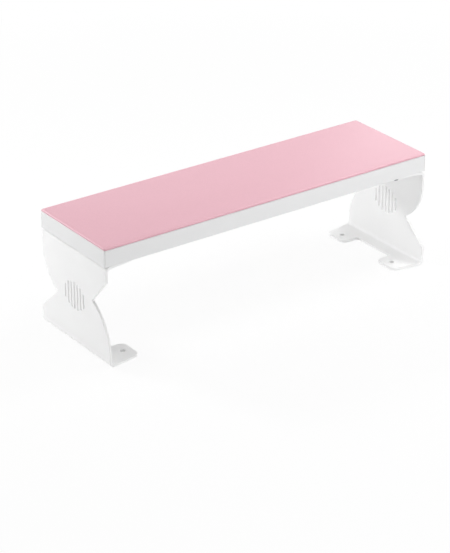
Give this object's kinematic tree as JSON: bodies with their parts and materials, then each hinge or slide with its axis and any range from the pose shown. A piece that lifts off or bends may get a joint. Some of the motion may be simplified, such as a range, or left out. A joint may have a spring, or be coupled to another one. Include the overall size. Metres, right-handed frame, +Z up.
{
  "type": "manicure hand rest",
  "caption": "Low hand rest for manicure work: a long pink leatherette pad on a white edge-banded board, raised on waisted, bent sheet-metal legs with drilled feet.",
  "frame": {"origin": "on the table, midway between the two legs and midway between the near and the far side", "axes": "+X along the board's length, +Y from the near side to the far side, +Z up from the table"},
  "size_m": [0.4, 0.124, 0.1287],
  "materials": {
    "board": "particle board with white melamine faces",
    "edge_band": "white, satin",
    "foam": "open-cell foam",
    "leatherette": "fine-grained, matte pink",
    "leg": "white powder coat, satin",
    "screw": "black oxide",
    "insert": "zinc plated"
  },
  "bodies": {
    "root": {"board": "board", "edge_band_front": "edge_band", "edge_band_back": "edge_band", "edge_band_left": "edge_band", "edge_band_right": "edge_band", "pad_foam": "foam", "pad_cover": "leatherette", "left_leg": "leg", "right_leg": "leg", "leg_screw_left_front": "screw", "leg_screw_left_back": "screw", "leg_screw_right_front": "screw", "leg_screw_right_back": "screw", "insert_left_front": "insert", "insert_left_back": "insert", "insert_right_front": "insert", "insert_right_back": "insert"}
  },
  "joints": []
}
